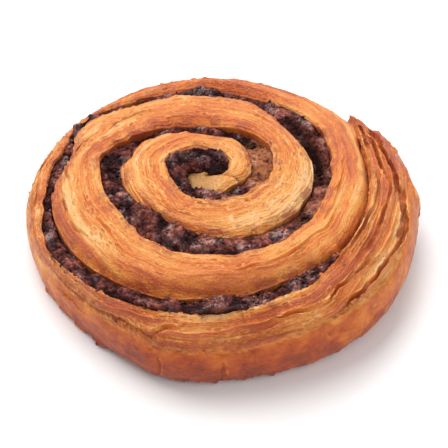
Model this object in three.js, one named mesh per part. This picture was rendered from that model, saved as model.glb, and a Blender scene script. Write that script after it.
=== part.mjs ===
// A cinnamon roll: one long strip of layered dough, coiled flat from its middle outwards with a
// wall of dark filling between its turns. Millimetres, +Z up, resting on its flat base at Z = 0.
//
// Everything is laid out on the coil. A place on it is a coil angle in degrees, counted outwards
// from the filling's tip in the middle and growing counter-clockwise as seen from above, and a
// distance from the coil's centre. One turn further out is 360 degrees more.

import * as THREE from "three";
import { mergeVertices } from "three/addons/utils/BufferGeometryUtils.js";

// Driving dimensions of the coil
const centre = { x: -5.2, y: 4.87 }; // the coil's centre, off the middle of the base
const pitch = 14.98; // how far the coil grows in one turn
const startRadius = -0.88;
const bends = [
  // where the coil leaves an even spiral: [coil angle, how far out, spread in degrees]
  [-24.4, 5, 120],
  [166.5, 1.6, 17.7],
  [365, 1.6, 32],
  [456.5, -1.9, 31],
  [531, 4.2, 33],
  [695, 3.1, 82.3],
  [862.5, 5.8, 12],
  [915, 2.8, 37.7],
  [931.2, 4.2, 120],
  [1116, 2.8, 11.4],
];
const stepDegrees = 5; // one station of the mesh
const tipAngle = -31; // the channel's rounded start
const fillingEnd = 1044; // past this the two turns of dough touch
const fillingClose = 20; // degrees in which the channel narrows to nothing there
const outerStart = 754; // from here on the strip is the roll's outside
const stripEnd = outerStart + 360;

// The filling and its channel
const fillingHalfWidth = 2.27;
const lumps = [
  // chunks and thin places: [coil angle, change of half width, spread in degrees]
  [376, 1, 29],
  [525, 1.6, 9],
  [606, 1.7, 47],
  [754, 2.2, 22.5],
  [808.5, 1, 9],
  [869, -1.5, 11],
  [905, -1.1, 13.6],
  [991, 0.6, 32],
];
const gap = 0.3; // between the filling and the dough
const fillingRecess = 2.3; // the filling's crown below the top of the dough
const recessLean = 0.8; // how much deeper that is at the back, and shallower at the front
const fillingShoulder = 0.9; // the crown's edges, below its middle
const fillingRises = [
  // where the hook of filling stands up round the core: [coil angle, height, spread]
  [40, 2.7, 75],
  [165, 2.1, 45],
];
const fillingHollows = [[739, 5, 18]]; // where its middle has sunk in: [coil angle, depth, spread]

// The top
const middleHeight = 31.5;
const rimRadius = 53.3; // of the circle on which the top has come down to the rim
const rimCentre = { x: 0.3, y: 2.47 };
const roundFall = 8.5; // fall to the rim, first as the square of the distance
const edgeFall = 5.5; // and then as its sixth power, near the rim
const coreSink = 4; // the soft middle of the hook
const seamDepth = 3; // the crack between turns that touch

// The outside
const bodyRadius = 55.6; // the circle that the outside follows
const bodyCentre = { x: -1.45, y: 3.96 };
const dents = [
  // where it leaves that circle: [coil angle, how far out, spread in degrees]
  [786.4, -11.4, 62.7],
  [843.6, -2, 18.7],
  [965, -6.5, 54.3],
  [978.7, 4.6, 22],
  [1099, 1.6, 10.3],
];
const wallColumn = [
  // the crust from its top edge down to the base: [inset from the outline, share of the height]
  [2, 1],
  [0.7, 0.84],
  [0, 0.6],
  [0.3, 0.38],
  [1.7, 0.16],
  [4.4, 0],
];
const baseShare = 0.953; // the coil's size at its base, against the top
const thinnest = 0.8; // dough outside the filling
const fullThickness = 4;
const leastInset = 0.5;

// The section of the strip: [place across it from inner to outer side, height on the dome]
const innerSection = [
  [0, -0.8],
  [0.06, 0.3],
  [0.19, 0.2],
  [0.3, -0.5],
  [0.4, 0.25],
  [0.52, -0.5],
  [0.63, 0.25],
  [0.75, -0.4],
  [0.87, 0],
  [1, -1.2],
];
const outerSection = [
  [0, -0.9],
  [0.06, 0.4],
  [0.24, 0.3],
  [0.34, -0.7],
  [0.43, 0.35],
  [0.6, 0.4],
  [0.67, -0.7],
  [0.75, 0.5],
  [0.88, 0.2],
  [1, 0],
];

// Where the layers slope down to the filling instead of ending at a lip: [coil angle, fall, spread]
const innerFalls = [
  [458, 2.3, 38],
  [800, 2.6, 42],
];
const outerFalls = [
  [250, 1.2, 50],
  [420, 0.6, 30],
  [625, 2.8, 62],
];
const innerSlope = 3; // how far across the strip the slope reaches
const outerSlope = 4.6;
const rows = innerSection.length - 1;
const layerGapRow = 6; // this row of the outer section opens into a deep gap at the loose end
const layerGapDepth = 3.6;
const coreRings = [0.4, 0.75];

// The loose end of the strip: its edge is cut at a slant and frays into two tips
const tailEdge = [
  // [distance out from the inner side, turn of the edge in degrees]
  [0, 0.5],
  [1, 0],
  [3.1, -8.3],
  [5.6, -7.3],
  [7.6, -12.3],
  [9, -20],
];
const tailRun = 45; // degrees of the strip that are drawn along with the edge
const tailLift = 1;

const materials = {
  dough: { color: 0xd9944f, roughness: 0.55 },
  filling: { color: 0x4a2a22, roughness: 0.6 },
};

const radians = THREE.MathUtils.degToRad;
const smooth = (x, low, high) => THREE.MathUtils.smoothstep(x, low, high);
const mix = THREE.MathUtils.lerp;
const bell = (x, [at, height, spread]) => height * Math.exp(-(((x - at) / spread) ** 2));
const sumOf = (list, x) => list.reduce((sum, item) => sum + bell(x, item), 0);

// Slow unevenness, from -1 to 1, that never repeats along the coil.
function waver(angle, seed) {
  const a = radians(angle);
  return (
    Math.sin(5.3 * a + 2.1 * seed) * 0.5 +
    Math.sin(11.9 * a + 4.7 * seed) * 0.3 +
    Math.sin(23.1 * a + 1.3 * seed) * 0.2
  );
}

// The middle of the filling, or of the seam where it has run out.
const coilRadius = (angle) => startRadius + (pitch * angle) / 360 + sumOf(bends, angle);

// Half of the channel's width: rounded at the tip, closed at the filling's other end.
function halfWidth(angle) {
  const round = Math.sqrt(1 - THREE.MathUtils.clamp(-angle / -tipAngle, 0, 1) ** 2);
  const closing = Math.sqrt(1 - smooth(angle, fillingEnd - fillingClose, fillingEnd));
  return (fillingHalfWidth + sumOf(lumps, angle) + 0.15 * waver(angle, 1)) * round * closing;
}

// Distance from the coil's centre to a circle round another centre.
function circleRadius(angle, radius, middle) {
  const a = radians(angle);
  const x = centre.x - middle.x;
  const y = centre.y - middle.y;
  const along = x * Math.cos(a) + y * Math.sin(a);
  return -along + Math.sqrt(along * along + radius * radius - x * x - y * y);
}

const outline = (angle) => circleRadius(angle, bodyRadius, bodyCentre) + sumOf(dents, angle);

// Height of the dome, and of the loose end that stands above it.
function domeHeight(angle, radius) {
  const share = radius / circleRadius(angle, rimRadius, rimCentre);
  const out = smooth(radius, outline(outerStart) - 2, outline(outerStart) + 3);
  const lift = tailLift * smooth(angle, stripEnd - tailRun, stripEnd) * out;
  return middleHeight - roundFall * share ** 2 - edgeFall * share ** 6 + lift;
}

// A point from its coil angle, radius and height. Near the loose end the edge's slant turns it.
function place(angle, radius, height) {
  const out = radius - outline(outerStart);
  const pull = smooth(angle, stripEnd - tailRun, stripEnd);
  const a = radians(angle + (out > 0 ? pull * valueAt(tailEdge, out) : 0));
  return [centre.x + radius * Math.cos(a), centre.y + radius * Math.sin(a), height];
}

// A straight-line reading of a short list of [x, y].
function valueAt(list, x) {
  const next = list.findIndex(([at]) => at >= x);
  if (next <= 0) return next ? list.at(-1)[1] : list[0][1];
  const [x0, y0] = list[next - 1];
  const [x1, y1] = list[next];
  return mix(y0, y1, (x - x0) / (x1 - x0));
}

// How far the channel is shut at an angle: 1 at its tip and past its end.
const shut = (angle) =>
  1 -
  smooth(angle, tipAngle, tipAngle + 15) *
    (1 - smooth(angle, fillingEnd - fillingClose, fillingEnd));

// Fall of the strip's top at distances from its inner and its outer side.
function sideFall(angle, fromInner, fromOuter) {
  const inner = sumOf(innerFalls, angle) * (1 - smooth(fromInner, 0, innerSlope));
  return inner + sumOf(outerFalls, angle) * (1 - smooth(fromOuter, 0, outerSlope));
}

// Top edge of the channel's side: on its inner side the strip of the turn before ends, on its
// outer side this turn's strip begins.
function brink(angle, side) {
  const radius = coilRadius(angle) + side * halfWidth(angle);
  const lip = side < 0 ? innerSection.at(-1)[1] : innerSection[0][1];
  const fall = side < 0 ? sumOf(outerFalls, angle - 360) : sumOf(innerFalls, angle);
  const drop = mix(lip - fall - 0.35 * waver(angle, 5 + side), -seamDepth, shut(angle));
  return place(angle, radius, domeHeight(angle, radius) + drop);
}

// Foot of the channel's side. The whole coil is a little tighter at its base.
const foot = (angle, side) =>
  place(angle, baseShare * (coilRadius(angle) + side * halfWidth(angle)), 0);

// How much of its full inset the crust takes: less where the strip is thin outside the filling.
function insetShare(angle) {
  const thickness = outline(angle) - coilRadius(angle) - halfWidth(angle);
  return THREE.MathUtils.clamp((thickness - thinnest) / fullThickness, leastInset, 1);
}

// The crust's column at an angle, from the top edge down.
function crustColumn(angle) {
  const height = domeHeight(angle, topEdge(angle));
  return wallColumn.map(([inset, share], level) => {
    const rough = level > 0 && level < wallColumn.length - 1 ? 0.3 * waver(angle, 8 + level) : 0;
    return place(angle, outline(angle) - inset * insetShare(angle) + rough, height * share);
  });
}

const topEdge = (angle) => outline(angle) - wallColumn[0][0] * insetShare(angle);

// One row of points across the top of the strip, from its inner to its outer side.
function topRow(angle) {
  const outer = angle >= outerStart;
  const inner = coilRadius(angle) + halfWidth(angle);
  const far = outer ? topEdge(angle) : coilRadius(angle + 360) - halfWidth(angle + 360);
  const toOuter = smooth(angle, outerStart - 40, outerStart + 60);
  const row = [];
  for (let k = 0; k <= rows; k++) {
    const across = mix(innerSection[k][0], outerSection[k][0], toOuter);
    const radius = mix(inner, far, across + (k % rows ? 0.012 * waver(angle, 11 + k) : 0));
    let offset = mix(innerSection[k][1], outerSection[k][1], toOuter);
    offset += (offset < 0 ? 0.3 : 0.15) * waver(1.3 * angle, 20 + k);
    offset -= sideFall(angle, radius - inner, far - radius);
    if (k === layerGapRow) offset -= layerGapDepth * smooth(angle, outerStart + 270, stripEnd - 10);
    row.push(place(angle, radius, domeHeight(angle, radius) + offset));
  }
  row[0] = angle === stripEnd ? crustColumn(outerStart)[0] : brink(angle, 1);
  row[rows] = outer ? crustColumn(angle)[0] : brink(angle + 360, -1);
  if (angle + 360 === stripEnd) row[rows] = crustColumn(outerStart)[0];
  return row;
}

// Feet of the strip's two sides.
function feet(angle) {
  const inner = angle === stripEnd ? crustColumn(outerStart).at(-1) : foot(angle, 1);
  if (angle >= outerStart) return [inner, crustColumn(angle).at(-1)];
  return [inner, foot(angle + 360, -1)];
}

// Triangles gathered corner by corner, and welded at the end.
class Skin {
  corners = [];

  triangle(a, b, c) {
    this.corners.push(...a, ...b, ...c);
  }

  quad(a, b, c, d) {
    this.triangle(a, b, c);
    this.triangle(a, c, d);
  }

  // The band between two rows of equally many points, b lying to the left of a.
  band(a, b) {
    for (let k = 0; k + 1 < a.length; k++) this.quad(a[k], a[k + 1], b[k + 1], b[k]);
  }

  // The band between two rows of unlike numbers of points that both run outwards.
  zip(a, b) {
    const out = ([x, y]) => Math.hypot(x - centre.x, y - centre.y);
    let i = 0;
    let j = 0;
    while (i + 1 < a.length || j + 1 < b.length) {
      const stepA = j + 1 === b.length || (i + 1 < a.length && out(a[i + 1]) < out(b[j + 1]));
      if (stepA) this.triangle(a[i], a[++i], b[j]);
      else this.triangle(a[i], b[j + 1], b[j++]);
    }
  }

  // The welded surface, without the triangles that welding leaves with no area.
  geometry() {
    const shape = new THREE.BufferGeometry();
    shape.setAttribute("position", new THREE.Float32BufferAttribute(this.corners, 3));
    const welded = mergeVertices(shape, 1e-3);
    const all = welded.index.array;
    const kept = [];
    for (let k = 0; k < all.length; k += 3) {
      const [a, b, c] = all.subarray(k, k + 3);
      if (a !== b && b !== c && c !== a) kept.push(a, b, c);
    }
    welded.setIndex(kept);
    welded.computeVertexNormals();
    return welded;
  }
}

const stations = (from, to) => {
  const list = [];
  for (let angle = from; angle < to; angle += stepDegrees) list.push(angle);
  return list;
};

// The dough inside the hook, as rings round the coil's centre.
function addCore(skin) {
  const middle = [centre.x, centre.y, middleHeight - coreSink];
  const under = [centre.x, centre.y, 0];
  const spoke = (angle) => {
    const radius = coilRadius(angle) - halfWidth(angle);
    const inside = coreRings.map((share) =>
      place(angle % 360, share * radius, middleHeight - coreSink + 0.25 * waver(angle, share)),
    );
    return [middle, ...inside, brink(angle, -1)];
  };
  for (const angle of stations(tipAngle, tipAngle + 360)) {
    const next = angle + stepDegrees;
    if (next < tipAngle + 360) {
      skin.band(spoke(angle), spoke(next));
      skin.triangle(under, foot(next, -1), foot(angle, -1));
    } else {
      // The last spoke runs through the hook's opening, along the start of the strip.
      skin.zip(spoke(angle), [...spoke(tipAngle), ...topRow(tipAngle).slice(1)]);
      skin.triangle(under, foot(tipAngle, -1), foot(angle, -1));
      skin.triangle(foot(tipAngle, -1), foot(next, -1), foot(angle, -1));
    }
  }
}

// The strip's top and underside, and the crust round its outer turn.
function addStrip(skin) {
  for (const angle of stations(tipAngle, stripEnd)) {
    const next = angle + stepDegrees;
    skin.band(topRow(angle), topRow(next));
    skin.band(feet(next), feet(angle));
    if (angle >= outerStart) skin.band(crustColumn(angle), crustColumn(next));
  }
}

// Both sides of the channel that the filling fills.
function addChannel(skin) {
  for (const angle of stations(tipAngle, fillingEnd)) {
    const next = angle + stepDegrees;
    skin.band([brink(angle, -1), foot(angle, -1)], [brink(next, -1), foot(next, -1)]);
    skin.band([foot(angle, 1), brink(angle, 1)], [foot(next, 1), brink(next, 1)]);
  }
}

// The loose end, a flat face between the crust of the turn inside it and its own.
function addTailFace(skin) {
  const inside = crustColumn(outerStart);
  const outside = crustColumn(stripEnd);
  const ring = [...inside, ...outside.toReversed(), ...topRow(stripEnd).slice(1, -1).toReversed()];
  const flat = ring.map(([x, y, z]) => new THREE.Vector2(Math.hypot(x - centre.x, y - centre.y), z));
  for (const [a, b, c] of THREE.ShapeUtils.triangulateShape(flat, [])) {
    skin.triangle(ring[a], ring[c], ring[b]);
  }
}

function doughGeometry() {
  const skin = new Skin();
  addCore(skin);
  addStrip(skin);
  addChannel(skin);
  addTailFace(skin);
  return skin.geometry();
}

// One ring round the filling: its feet, its rounded and lumpy crown, and back.
function fillingRing(angle) {
  const radius = coilRadius(angle);
  const half = halfWidth(angle) - gap;
  const recess = fillingRecess + recessLean * Math.sin(radians(angle));
  const rise = sumOf(fillingRises, angle) + 0.5 * waver(2 * angle, 3);
  const crown = domeHeight(angle, radius) - recess + rise;
  const sink = sumOf(fillingHollows, angle);
  const shoulder = crown - fillingShoulder * Math.min(1, half);
  const bump = (seed) => 0.25 * waver(2.3 * angle, seed);
  return [
    place(angle, baseShare * (radius - half), 0),
    place(angle, baseShare * (radius + half), 0),
    place(angle, radius + half, shoulder),
    place(angle, radius + 0.55 * half, crown + bump(31) - 0.25 * sink),
    place(angle, radius, crown + 0.2 + bump(32) - sink),
    place(angle, radius - 0.55 * half, crown + bump(33) - 0.5 * sink),
    place(angle, radius - half, shoulder),
  ];
}

function fillingGeometry() {
  const skin = new Skin();
  const rings = stations(tipAngle + stepDegrees, fillingEnd).map(fillingRing);
  const close = (ring) => [...ring, ring[0]];
  for (let k = 0; k + 1 < rings.length; k++) skin.band(close(rings[k + 1]), close(rings[k]));
  const cap = ([first, ...rest], faceBack) => {
    for (let k = 0; k + 1 < rest.length; k++) {
      if (faceBack) skin.triangle(first, rest[k], rest[k + 1]);
      else skin.triangle(first, rest[k + 1], rest[k]);
    }
  };
  cap(rings[0], true);
  cap(rings.at(-1), false);
  return skin.geometry();
}

function named(name, geometry) {
  const mesh = new THREE.Mesh(geometry, new THREE.MeshStandardMaterial(materials[name]));
  mesh.name = name;
  return mesh;
}

const roll = new THREE.Group();
roll.name = "cinnamon_roll";
roll.add(named("dough", doughGeometry()));
roll.add(named("filling", fillingGeometry()));

export default roll;
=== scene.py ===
import math
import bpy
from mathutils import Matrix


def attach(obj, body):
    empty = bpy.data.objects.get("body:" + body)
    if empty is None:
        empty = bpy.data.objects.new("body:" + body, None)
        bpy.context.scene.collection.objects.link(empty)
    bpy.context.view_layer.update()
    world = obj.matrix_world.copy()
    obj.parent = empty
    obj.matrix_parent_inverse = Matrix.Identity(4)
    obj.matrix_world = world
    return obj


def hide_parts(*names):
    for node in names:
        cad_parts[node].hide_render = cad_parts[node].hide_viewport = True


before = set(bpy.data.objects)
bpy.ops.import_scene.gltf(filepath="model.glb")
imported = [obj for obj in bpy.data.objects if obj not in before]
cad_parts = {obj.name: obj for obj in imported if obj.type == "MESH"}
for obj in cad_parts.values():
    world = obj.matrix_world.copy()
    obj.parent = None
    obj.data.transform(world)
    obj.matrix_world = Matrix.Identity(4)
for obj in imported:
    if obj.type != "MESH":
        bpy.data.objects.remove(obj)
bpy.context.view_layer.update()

from types import SimpleNamespace

import bmesh
import bpy
import numpy as np
from mathutils import Vector

print("frame loaded")

mm = 0.001

# The coil as the solids have it. A place on it is a coil angle in degrees, counted outwards from
# the filling's tip, and a distance in millimetres from the coil's centre.
coil = {
    "centre": (-5.2, 4.87),
    "pitch": 14.98,
    "startRadius": -0.88,
    "bends": [  # where it leaves an even spiral: coil angle, how far out, spread in degrees
        (-24.4, 5, 120), (166.5, 1.6, 17.7), (365, 1.6, 32), (456.5, -1.9, 31), (531, 4.2, 33),
        (695, 3.1, 82.3), (862.5, 5.8, 12), (915, 2.8, 37.7), (931.2, 4.2, 120),
        (1116, 2.8, 11.4),
    ],
    "tipAngle": -31,
    "fillingEnd": 1044,
    "fillingClose": 20,
    "outerStart": 754,  # from here on the strip's outer side is the roll's crust
    "outerFade": 16,  # degrees before it
    "stripEnd": 1114,
    "halfWidth": 2.27,
    "lumps": [  # chunks and thin places of the filling: coil angle, change of half width, spread
        (376, 1, 29), (525, 1.6, 9), (606, 1.7, 47), (754, 2.2, 22.5), (808.5, 1, 9),
        (869, -1.5, 11), (905, -1.1, 13.6), (991, 0.6, 32),
    ],
}

shape = {
    "middleHeight": 31.5,
    "rimRadius": 53.3,
    "rimCentre": (0.3, 2.47),
    "roundFall": 8.5,
    "edgeFall": 5.5,
    "bodyRadius": 55.6,
    "bodyCentre": (-1.45, 3.96),
    "dents": [  # where the outside leaves that circle: coil angle, how far out, spread
        (786.4, -11.4, 62.7), (843.6, -2, 18.7), (965, -6.5, 54.3), (978.7, 4.6, 22),
        (1099, 1.6, 10.3),
    ],
    "wallColumn": [(2, 1), (0.7, 0.84), (0, 0.6), (0.3, 0.38), (1.7, 0.16), (4.4, 0)],
    "baseShare": 0.953,
    "thinnest": 0.8,
    "fullThickness": 4,
    "leastInset": 0.5,
    "tailEdge": [(0, 0.5), (1, 0), (3.1, -8.3), (5.6, -7.3), (7.6, -12.3), (9, -20)],
    "tailRun": 45,
    "tailLift": 1,
}

# The strip of dough: how finely it is drawn, its lips, slits and crust. Lengths in millimetres,
# places as a coil angle and a distance across the strip from its inner side.
strip = {
    "start": -391,
    "cuts": (400, 754),  # coil angles at which one piece of dough ends and the next one starts
    "steps": (0.4, 0.38, 0.47),  # along the strip, in each piece
    "topRows": 92,
    "crustRows": 36,
    "wallRows": 14,
    "baseRows": 4,
    "endRings": 26,
    "crack": 0.1,  # half of the crack between turns that touch
    "hole": 0.03,
    "seamDepth": 1.4,  # where two turns touch with no filling between them
    "seamWidth": 1,
    "sideHeight": 17,  # of the crust, about
    "sideLength": 20,  # down its curve
    "rimFold": 3,  # how far down the rim the slits still open upwards
    "broadLeaves": (860, 1010),  # coil angles between which the leaves get thicker
    "broadEnd": (1035, 1075),  # and thinner again
    "tornFrom": (860, 920),  # where the leaves' torn edge over the crust begins
    "far": 9,  # a distance from the filling at which nothing of it shows
    "hollow": 5.6,  # how deep the core sinks on its left, rising to the right
    "hollowReach": (-3, 9),
    "hollowTurn": (20, 110),  # coil angles over which it ends
    "oliveTurn": (-60, 60),  # and over which its colour does
    "channelDepth": 5.5,  # of the channel's side that has its rows close together
    "crown": 0.35,  # how far the top bulges between its lips
    "innerLip": 0.5,
    "innerLipWidth": 0.7,
    "innerFalls": [(458, 2.3, 38), (800, 2.6, 42)],  # where the inner side slopes down instead
    "innerSlope": 3,
    "outerLip": 1.1,
    "outerLipWidth": 1.8,
    "outerFalls": [(250, 1.2, 50), (625, 2.8, 62), (420, 0.6, 30)],
    "outerSlope": 4.6,
    "slits": [  # two coil angles, the place across at both, half width, depth
        (1038, 1092, 1.3, 2.6, 0.35, 1.3), (1060, 1083, 11.4, 9.0, 0.9, 3.4),
        (1079, 1113, 8.6, 3.8, 0.75, 4.0), (1028, 1064, 9.6, 11.4, 0.35, 1.9),
        (1082, 1104, 4.9, 2.9, 0.4, 2.6), (1050, 1088, 5.0, 5.8, 0.3, 1.5),
        (1096, 1112, 2.0, 1.4, 0.3, 1.6), (1010, 1052, 4.4, 7.6, 0.3, 1.2),
        (950, 984, 5.9, 4.0, 0.4, 1.7), (992, 1006, 10.4, 10.6, 0.3, 1.1),
        (972, 994, 9.1, 9.6, 0.3, 0.9), (1006, 1022, 9.2, 8.6, 0.3, 0.8),
        (925, 958, 4.2, 6.2, 0.35, 1.1), (930, 950, 8.4, 9.2, 0.3, 0.9),
        (880, 925, 3.0, 2.4, 0.4, 0.9), (868, 905, 4.6, 4.2, 0.35, 0.8),
        (505, 548, 9.6, 9.0, 0.4, 1.1), (536, 580, 11.2, 11.2, 0.35, 1.2),
        (480, 512, 8.0, 7.2, 0.35, 0.9), (560, 600, 6.0, 6.6, 0.35, 0.7),
        (690, 730, 3.2, 3.4, 0.35, 0.7), (640, 700, 5.2, 4.6, 0.3, 0.6),
    ],
    "crustCracks": [  # down the crust: coil angle, from and to how far down, depth
        (977, 7, 16, 0.9),
        (995.4, 8, 18, 1.0),
    ],
    "bakes": [  # paler (-) and browner places: coil angle, share across, spreads, amount
        (325, 0.75, 40, 0.35, -0.28), (560, 0.66, 42, 0.13, -0.26), (545, 0.42, 55, 0.10, 0.16),
        (545, 0.85, 45, 0.16, 0.1), (905, 0.5, 40, 0.8, -0.14), (465, 0.12, 45, 0.16, 0.26),
        (480, 0.5, 40, 0.1, 0.12), (640, 0.9, 60, 0.14, 0.16), (270, 0.92, 50, 0.14, 0.12),
        (735, 0.45, 30, 0.12, 0.16), (735, 0.8, 30, 0.12, -0.12), (700, 0.7, 25, 0.3, -0.16),
        (800, 0.75, 50, 0.3, 0.2), (790, 0.15, 40, 0.2, 0.1), (965, 0.95, 60, 0.4, 0.22),
        (985, 0.22, 50, 0.14, -0.12), (1000, 0.02, 20, 0.09, -0.6), (1030, 0.45, 40, 0.12, 0.14),
        (1090, 0.45, 40, 0.4, 0.1), (1060, 0.75, 40, 0.12, -0.3), (1075, 0.6, 40, 0.08, 0.2),
        (740, 0.3, 40, 0.25, 0.14), (1109, 0.72, 14, 0.3, 0.42), (1111, 0.15, 16, 0.15, 0.26),
        (355, 0.4, 50, 0.4, 0.1), (1085, 0.35, 35, 0.15, 0.12), (-200, 0.5, 160, 2.0, -0.1),
    ],
    "pits": [  # where more or fewer small pits are: coil angle, change, spread
        (905, 1.6, 45), (975, 1.8, 34), (720, -0.6, 50), (520, 0.5, 60), (250, 0.5, 60),
    ],
    "calm": [(720, 0.5, 60), (630, 0.25, 45), (90, 0.3, 90)],  # where the leaves show less
    # blisters under the top: coil angle, place across, length, width, height
    "blisters": [(638, 5.8, 2.2, 1.1, 0.55), (1004, 3.4, 1.6, 0.9, 0.4)],
    "crustStart": [  # how far down the outside the layers go on: coil angle, millimetres
        (754, 0.5), (850, 1), (900, 3.8), (925, 5.4), (955, 5.2), (975, 3.9), (987, 3.3),
        (1001, 5.2), (1007, 3.4), (1014, 4.1), (1026, 2.1), (1040, 2.8), (1054, 1.4),
        (1066, -0.5), (1084, -1), (1114, -1),
    ],
}


def smooth(x, low, high):
    t = np.clip((x - low) / (high - low), 0, 1)
    return t * t * (3 - 2 * t)


def bells(x, items):
    return sum(height * np.exp(-(((x - at) / spread) ** 2)) for at, height, spread in items)


def mix(a, b, t):
    return a + (b - a) * t


# Slow unevenness from -1 to 1 that never repeats along the coil.
def waver(angle, seed):
    a = np.radians(angle)
    return (
        np.sin(5.3 * a + 2.1 * seed) * 0.5
        + np.sin(11.9 * a + 4.7 * seed) * 0.3
        + np.sin(23.1 * a + 1.3 * seed) * 0.2
    )


def coilRadius(angle):
    return coil["startRadius"] + coil["pitch"] * angle / 360 + bells(angle, coil["bends"])


def halfWidth(angle):
    tip = np.sqrt(1 - np.clip(angle / coil["tipAngle"], 0, 1) ** 2)
    closing = np.sqrt(1 - smooth(angle, coil["fillingEnd"] - coil["fillingClose"], coil["fillingEnd"]))
    return (coil["halfWidth"] + bells(angle, coil["lumps"]) + 0.15 * waver(angle, 1)) * tip * closing


def circleRadius(angle, radius, middle):
    a = np.radians(angle)
    x = coil["centre"][0] - middle[0]
    y = coil["centre"][1] - middle[1]
    along = x * np.cos(a) + y * np.sin(a)
    return -along + np.sqrt(along * along + radius * radius - x * x - y * y)


def outline(angle):
    body = circleRadius(angle, shape["bodyRadius"], shape["bodyCentre"])
    return body + bells(angle, shape["dents"])


tailRoot = float(outline(coil["outerStart"]))  # the turn that the loose end lies against


def domeHeight(angle, radius):
    share = radius / circleRadius(angle, shape["rimRadius"], shape["rimCentre"])
    out = smooth(radius, tailRoot - 2, tailRoot + 3)
    lift = shape["tailLift"] * smooth(angle, coil["stripEnd"] - shape["tailRun"], coil["stripEnd"])
    fall = shape["roundFall"] * share**2 + shape["edgeFall"] * share**6
    return shape["middleHeight"] - fall + lift * out


# Points in metres from coil angles, radii and heights. The loose end's slant turns its points.
def place(angle, radius, height):
    pull = smooth(angle, coil["stripEnd"] - shape["tailRun"], coil["stripEnd"])
    outs, turns = zip(*shape["tailEdge"])
    turn = np.where(radius > tailRoot, np.interp(radius - tailRoot, outs, turns), 0) * pull
    a = np.radians(angle + turn)
    x = coil["centre"][0] + radius * np.cos(a)
    y = coil["centre"][1] + radius * np.sin(a)
    return np.stack([x, y, height + 0 * x], axis=-1) * mm


def insetShare(angle):
    thickness = outline(angle) - coilRadius(angle) - halfWidth(angle)
    share = (thickness - shape["thinnest"]) / shape["fullThickness"]
    return np.clip(share, shape["leastInset"], 1)


def topEdge(angle):
    return outline(angle) - shape["wallColumn"][0][0] * insetShare(angle)


# Fine unevenness of the lips along the channel, in millimetres.
def lipWaver(angle, radius, seed):
    s = np.radians(angle) * radius
    wave = np.sin(s / 1.9 + 3 * seed) + 0.5 * np.sin(s / 0.83 + 5 * seed + np.sin(s / 2.3))
    slow = np.sin(s / 4.3 + 2 * seed + np.sin(s / 7))
    return 0.1 * wave * (0.6 + 0.4 * waver(angle, seed)) + 0.3 * slow


# 1 where the strip's outer side is crust, 0 where it is a side of the channel.
def crustShare(angle):
    return smooth(angle, coil["outerStart"] - coil["outerFade"], coil["outerStart"])


# The strip's inner and outer side on the top. Its first turn is the core inside the filling's
# hook, and reaches to the coil's centre.
def stripSides(angle):
    inner = coilRadius(angle) + np.maximum(halfWidth(angle), strip["crack"])
    inner = inner + lipWaver(angle, inner, 1) * np.minimum(halfWidth(angle), 1)
    inner = np.where(angle < coil["tipAngle"] - 1e-6, strip["hole"], inner)
    nextTurn = angle + 360
    channel = coilRadius(nextTurn) - np.maximum(halfWidth(nextTurn), strip["crack"])
    channel = channel + lipWaver(nextTurn, channel, 2) * np.minimum(halfWidth(nextTurn), 1)
    outer = mix(channel, topEdge(angle), crustShare(angle))
    return inner, np.maximum(outer, inner)


# The fall of a turn's edge towards the seam between two turns that touch.
def seamFall(angle, away):
    closed = smooth(angle, coil["fillingEnd"] - coil["fillingClose"], coil["fillingEnd"])
    return strip["seamDepth"] * closed * (1 - smooth(away, 0, strip["seamWidth"]))


# Height of the dough's top before its slits.
def topHeight(angle, radius, inner, outer):
    fromInner = radius - inner
    fromOuter = outer - radius
    isOuter = smooth(angle, coil["outerStart"] - 40, coil["outerStart"] + 60)
    hasInner = smooth(angle, coil["tipAngle"] - 5, coil["tipAngle"] + 6)
    innerLip = 1 - smooth(fromInner, 0, strip["innerLipWidth"])
    innerSlope = 1 - smooth(fromInner, 0, strip["innerSlope"])
    innerFall = strip["innerLip"] * innerLip * hasInner + bells(angle, strip["innerFalls"]) * innerSlope
    outerLip = (1 - smooth(fromOuter, 0, strip["outerLipWidth"])) ** 1.3
    outerSlope = (1 - smooth(fromOuter, 0, strip["outerSlope"])) ** 1.3
    outerFall = strip["outerLip"] * outerLip + bells(angle, strip["outerFalls"]) * outerSlope
    outerFall = outerFall + seamFall(angle + 360, fromOuter)
    falls = innerFall + seamFall(angle, fromInner) + outerFall * (1 - isOuter)
    right = radius * np.cos(np.radians(angle))
    sink = strip["hollow"] * (1 - smooth(right, *strip["hollowReach"]))
    sink = sink * (1 - smooth(angle, *strip["hollowTurn"]))
    share = np.clip(fromInner / np.maximum(outer - inner, 0.1), 0, 1)
    crown = strip["crown"] * np.sin(np.pi * share)
    return domeHeight(angle, radius) - falls - sink + crown


# How far the slits cut in, and the blisters rise, at a place on the top or the crust, and how
# near the place is to a slit's thin raised lips.
def slitDepth(angle, across):
    total = 0 * across
    lips = 0 * across
    for start, end, first, last, half, depth in strip["slits"]:
        t = (angle - start) / (end - start)
        curve = 0.35 * np.sin(3 * np.pi * t + start) + 0.12 * np.sin(11 * np.pi * t + start)
        away = across - mix(first, last, t) - curve
        ends = np.sqrt(np.clip(np.sin(np.pi * np.clip(t, 0, 1)), 0, 1))
        cut = np.exp(-np.abs(away / half) ** 5)
        for lip in (-1, 1):
            brim = np.exp(-(((away + lip * (half + 0.32)) / 0.26) ** 2))
            cut = cut - 0.5 / depth * brim
            lips = lips + ends * brim
        total = total + depth * ends * cut * (0.75 + 0.25 * np.sin(17 * t + start))
    for at, middle, length, width, height in strip["blisters"]:
        s = np.radians(angle - at) * coilRadius(at + 180.0)
        total = total - height * np.exp(-((s / length) ** 4) - ((across - middle) / width) ** 4)
    return total, lips


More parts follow.
